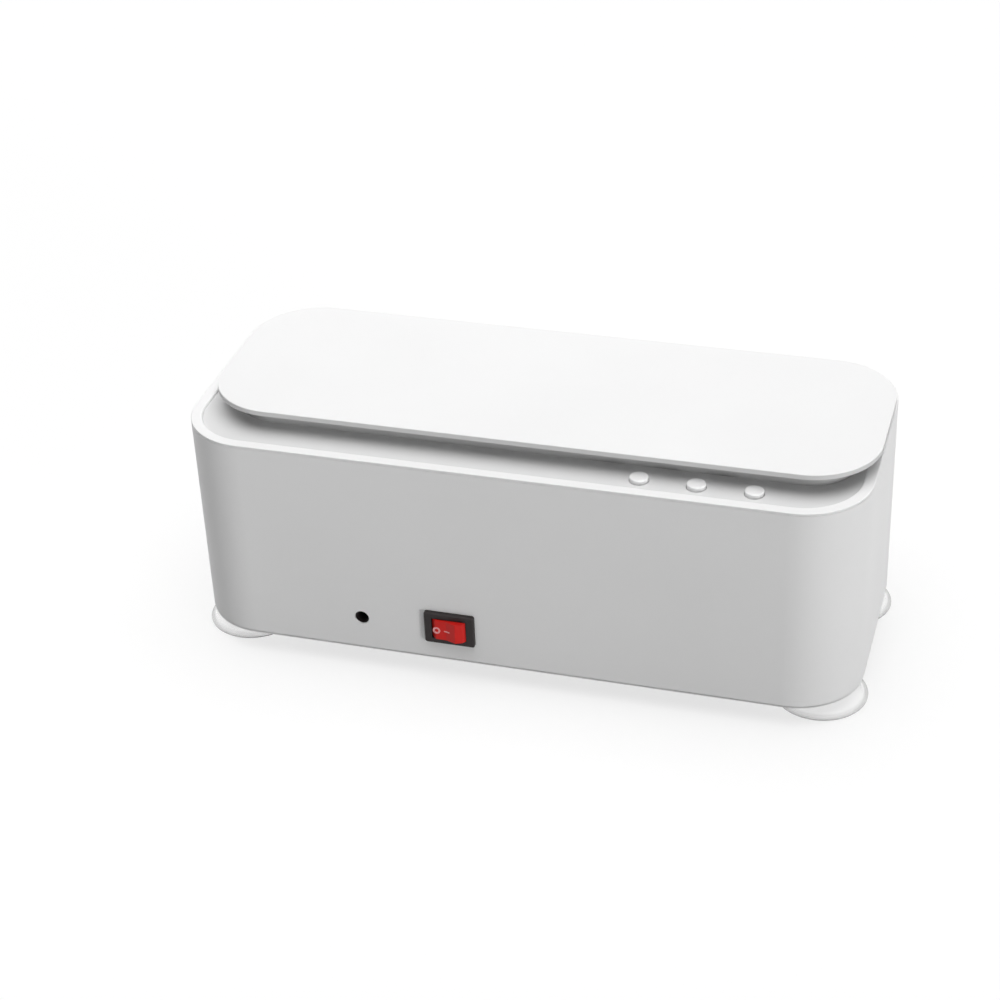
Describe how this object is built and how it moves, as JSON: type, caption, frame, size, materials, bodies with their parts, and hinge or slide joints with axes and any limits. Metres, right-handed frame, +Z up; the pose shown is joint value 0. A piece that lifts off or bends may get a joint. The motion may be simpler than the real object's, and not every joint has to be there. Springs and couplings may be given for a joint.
{
  "type": "contact lens cleaner device",
  "caption": "Long rounded white tabletop cleaner box with a lift-off lid over a steel tank, push buttons, a red rocker switch and suction-cup feet.",
  "frame": {"origin": "on the table, under the middle of the body", "axes": "+X along the length, to the right as seen from the switch side; -Y to the front; +Z up"},
  "size_m": [0.193, 0.0829, 0.075],
  "materials": {
    "white_housing": "moulded ABS, satin to gloss",
    "white_cover": "moulded ABS, fine texture",
    "white_lid": "moulded ABS, satin",
    "lid_liner_grey": "moulded ABS",
    "clear_vinyl": "clear soft vinyl",
    "tank_steel": "drawn stainless steel",
    "silicone": "translucent silicone",
    "button_white": "moulded ABS",
    "black_nylon": "moulded nylon",
    "rocker_red": "moulded polycarbonate",
    "plated_brass": "tin-plated",
    "plunger_black": "moulded nylon",
    "board_green": "solder-masked laminate",
    "screw_steel": "zinc-plated",
    "ferrite": "sintered ferrite",
    "copper_winding": "enamelled copper",
    "phenolic": "phenolic",
    "capacitor_sleeve": "shrink sleeve over aluminium",
    "film_yellow": "epoxy box",
    "connector_white": "nylon",
    "sink_aluminium": "extruded",
    "ceramic": "silvered ceramic",
    "epoxy": "cast epoxy"
  },
  "bodies": {
    "housing": {"outer_shell": "white_housing", "bottom_cover": "white_cover", "suction_foot_front_left": "clear_vinyl", "suction_foot_front_right": "clear_vinyl", "suction_foot_back_left": "clear_vinyl", "suction_foot_back_right": "clear_vinyl", "tank": "tank_steel", "tank_gasket": "silicone", "switch_bezel": "black_nylon", "jack_body": "black_nylon", "tact_switches": "black_nylon", "control_chip": "black_nylon", "power_transistor": "black_nylon", "switch_terminals": "plated_brass", "jack_terminals": "plated_brass", "jack_pin": "plated_brass", "driver_board": "board_green", "button_board": "board_green", "cover_screws": "screw_steel", "driver_board_screws": "screw_steel", "button_board_screws": "screw_steel", "transformer_core": "ferrite", "transformer_coil": "copper_winding", "power_inductor": "copper_winding", "transformer_base": "phenolic", "electrolytic_capacitors": "capacitor_sleeve", "film_capacitors": "film_yellow", "board_connectors": "connector_white", "heat_sink": "sink_aluminium", "transducer_disc": "ceramic", "transducer_bond": "epoxy"},
    "lid": {"lid_cover": "white_lid", "lid_liner": "lid_liner_grey", "lid_seal": "silicone"},
    "rocker": {"switch_rocker": "rocker_red"},
    "left_button": {"button_left": "button_white", "plunger_left": "plunger_black"},
    "middle_button": {"button_middle": "button_white", "plunger_middle": "plunger_black"},
    "right_button": {"button_right": "button_white", "plunger_right": "plunger_black"}
  },
  "joints": [
    {"name": "lid_lift", "type": "slide", "parent": "housing", "child": "lid", "axis": [0, 0, 1], "range_m": [0, 0.06]},
    {"name": "rocker_tilt", "type": "hinge", "parent": "housing", "child": "rocker", "pos_m": [-0.0173, -0.0383, 0.0177], "axis": [0, 0, 1], "range_deg": [0, 20]},
    {"name": "left_button_press", "type": "slide", "parent": "housing", "child": "left_button", "axis": [0, 0, -1], "range_m": [0, 0.0006], "stiffness_N_per_m": 1200},
    {"name": "middle_button_press", "type": "slide", "parent": "housing", "child": "middle_button", "axis": [0, 0, -1], "range_m": [0, 0.0006], "stiffness_N_per_m": 1200},
    {"name": "right_button_press", "type": "slide", "parent": "housing", "child": "right_button", "axis": [0, 0, -1], "range_m": [0, 0.0006], "stiffness_N_per_m": 1200}
  ]
}
